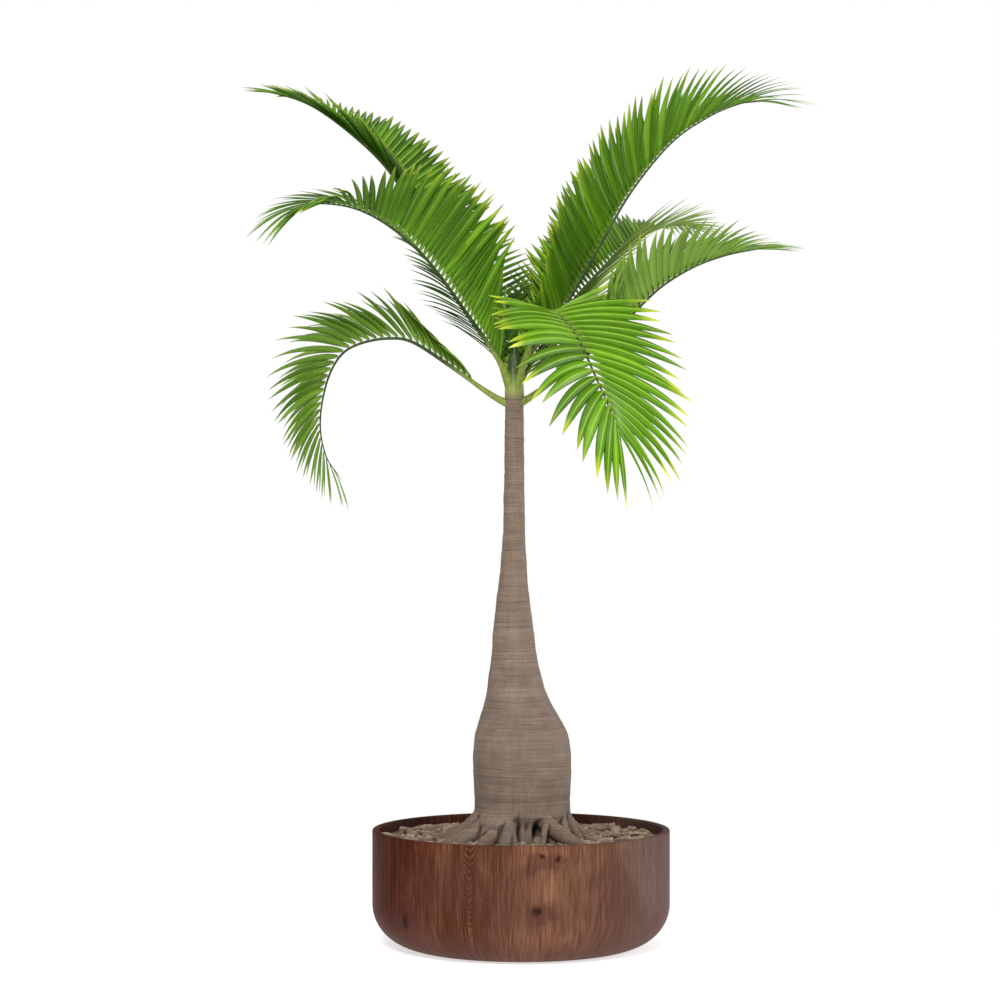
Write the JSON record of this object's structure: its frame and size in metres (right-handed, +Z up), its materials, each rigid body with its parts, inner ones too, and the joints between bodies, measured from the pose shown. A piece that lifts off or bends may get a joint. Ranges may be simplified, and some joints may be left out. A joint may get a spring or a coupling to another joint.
{
  "type": "potted bottle palm",
  "caption": "Floor-standing bottle palm: swollen ringed trunk with surface roots in potting mix, short crownshaft and arching feather fronds, in a low round wooden bowl",
  "frame": {"origin": "centre of the bowl's flat base", "axes": "+Z up along the trunk, -Y towards the viewer of the picture, +X to the viewer's right"},
  "size_m": [1.0923, 1.0676, 1.6264],
  "materials": {
    "walnut": "turned walnut, satin oil",
    "potting_mix": "dry bark-based potting mix, matt",
    "palm_bark": "ringed grey-brown palm bark, matt",
    "leaf_sheath": "smooth green leaf sheath, satin",
    "palm_leaf": "fresh green palm leaf, semi-gloss above and duller below"
  },
  "bodies": {
    "root": {"bowl": "walnut", "soil": "potting_mix", "trunk": "palm_bark", "crownshaft": "leaf_sheath", "frond_left_front": "palm_leaf", "frond_front": "palm_leaf", "frond_right_high": "palm_leaf", "frond_left_low": "palm_leaf", "frond_right_low": "palm_leaf", "frond_left_back": "palm_leaf", "frond_right_back": "palm_leaf"}
  },
  "joints": []
}
